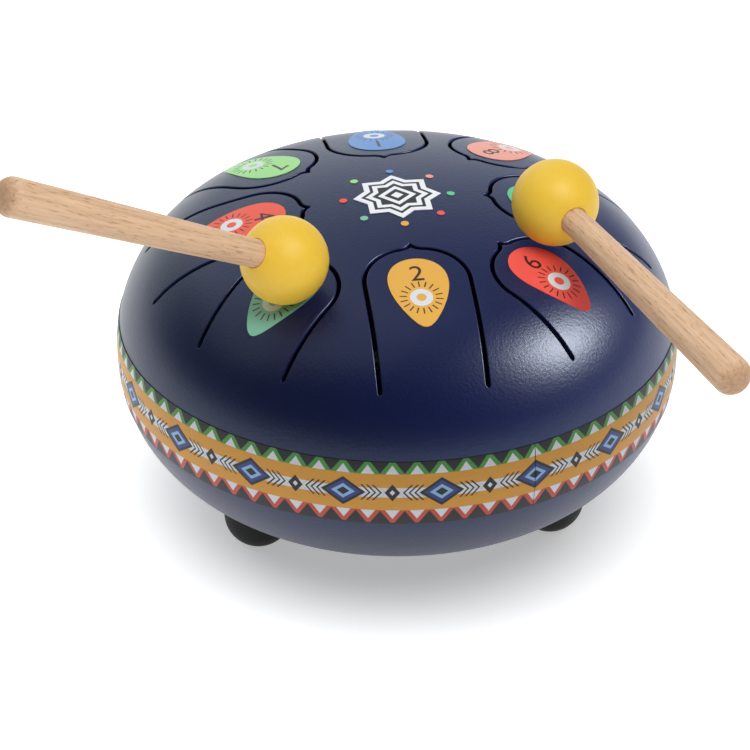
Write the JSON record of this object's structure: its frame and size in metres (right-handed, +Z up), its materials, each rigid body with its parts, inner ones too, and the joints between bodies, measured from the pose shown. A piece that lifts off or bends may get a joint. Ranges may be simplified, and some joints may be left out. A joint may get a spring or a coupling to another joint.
{
  "type": "steel tongue drum",
  "caption": "Pressed steel tongue drum with tongues of unlike lengths in its domed top, a sound hole below, rubber feet and a pair of ball-headed wooden mallets.",
  "frame": {"origin": "on the drum's axis, in the plane of the rubber feet's soles", "axes": "+Z up along the drum's axis, -Y towards the front tongue, +X to the right of a player who faces the drum from the front"},
  "size_m": [0.2404, 0.2484, 0.1938],
  "materials": {
    "navy_paint": "satin powder coat on pressed steel",
    "band_print": "printed film with a satin lacquer",
    "star_print": "printed film with a satin lacquer",
    "pad_blue": "printed film with a satin lacquer",
    "pad_amber": "printed film with a satin lacquer",
    "pad_green": "printed film with a satin lacquer",
    "pad_orange": "printed film with a satin lacquer",
    "pad_teal": "printed film with a satin lacquer",
    "pad_red": "printed film with a satin lacquer",
    "pad_light_green": "printed film with a satin lacquer",
    "pad_salmon": "printed film with a satin lacquer",
    "black_rubber": "moulded, matte",
    "zinc_steel": "zinc plated",
    "yellow_lacquer": "turned wood under satin lacquer",
    "beech": "turned and sanded, clear satin"
  },
  "bodies": {
    "drum": {"upper_shell": "navy_paint", "lower_shell": "navy_paint", "equator_band": "band_print", "crown_star": "star_print", "number_pad_1": "pad_blue", "number_pad_2": "pad_amber", "number_pad_3": "pad_green", "number_pad_4": "pad_orange", "number_pad_5": "pad_teal", "number_pad_6": "pad_red", "number_pad_7": "pad_light_green", "number_pad_8": "pad_salmon", "foot_front_left": "black_rubber", "foot_front_right": "black_rubber", "foot_back": "black_rubber", "foot_screws": "zinc_steel", "foot_washers": "zinc_steel", "foot_nuts": "zinc_steel"},
    "left_mallet": {"left_mallet_ball": "yellow_lacquer", "left_mallet_handle": "beech"},
    "right_mallet": {"right_mallet_ball": "yellow_lacquer", "right_mallet_handle": "beech"}
  },
  "joints": [
    {"name": "left_mallet_lift", "type": "slide", "parent": "drum", "child": "left_mallet", "axis": [0, 0, 1], "range_m": [0, 0.12]},
    {"name": "right_mallet_lift", "type": "slide", "parent": "drum", "child": "right_mallet", "axis": [0, 0, 1], "range_m": [0, 0.12]}
  ]
}
